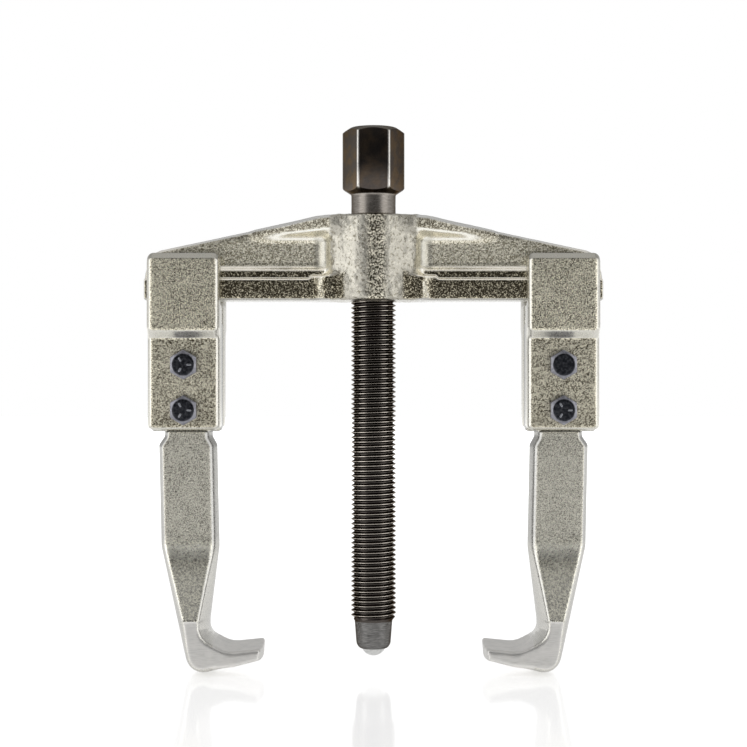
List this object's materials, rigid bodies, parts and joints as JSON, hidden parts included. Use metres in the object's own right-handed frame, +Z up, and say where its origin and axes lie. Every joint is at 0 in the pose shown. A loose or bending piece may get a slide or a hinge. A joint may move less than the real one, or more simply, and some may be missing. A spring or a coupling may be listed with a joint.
{
  "type": "gear puller",
  "caption": "Two-arm gear puller: a forged cross beam with a threaded forcing screw, ball point and hex head, and sliding bolted jaws with hooked arms.",
  "frame": {"origin": "on the floor between the hook heels, under the axis of the forcing screw", "axes": "+Z up along the screw towards its hexagon, +X along the beam, -Y to the front, where the bolt heads are"},
  "size_m": [0.1424, 0.029, 0.1698],
  "materials": {
    "plated_forging": "nickel plated over a rough forged skin",
    "burnished_screw": "burnished black-brown steel, worn bright on its edges",
    "bearing_ball": "polished",
    "blackened_fastener": "black oxide",
    "spring_steel": "oiled spring steel"
  },
  "bodies": {
    "beam": {"beam": "plated_forging"},
    "point": {"ball_tip": "bearing_ball"},
    "screw": {"spindle": "burnished_screw"},
    "left_jaw": {"left_front_cheek": "plated_forging", "left_rear_cheek": "plated_forging", "left_hook_arm": "plated_forging", "left_upper_bolt": "blackened_fastener", "left_upper_nut": "blackened_fastener", "left_upper_washer": "spring_steel", "left_lower_bolt": "blackened_fastener", "left_lower_nut": "blackened_fastener", "left_lower_washer": "spring_steel"},
    "right_jaw": {"right_front_cheek": "plated_forging", "right_rear_cheek": "plated_forging", "right_hook_arm": "plated_forging", "right_upper_bolt": "blackened_fastener", "right_upper_nut": "blackened_fastener", "right_upper_washer": "spring_steel", "right_lower_bolt": "blackened_fastener", "right_lower_nut": "blackened_fastener", "right_lower_washer": "spring_steel"}
  },
  "joints": [
    {"name": "screw_feed", "type": "slide", "parent": "beam", "child": "point", "axis": [0, 0, 1], "range_m": [0, 0.095]},
    {"name": "screw_turn", "type": "hinge", "parent": "point", "child": "screw", "pos_m": [0, 0, 0.0087], "axis": [0, 0, 1], "range_deg": [0, 22800]},
    {"name": "left_jaw_slide", "type": "slide", "parent": "beam", "child": "left_jaw", "axis": [1, 0, 0], "range_m": [0, 0.025]},
    {"name": "right_jaw_slide", "type": "slide", "parent": "beam", "child": "right_jaw", "axis": [-1, 0, 0], "range_m": [0, 0.025]}
  ],
  "couplings": [
    {"joint": "screw_turn", "follows": "screw_feed", "rad_per_m": 4188.8}
  ]
}
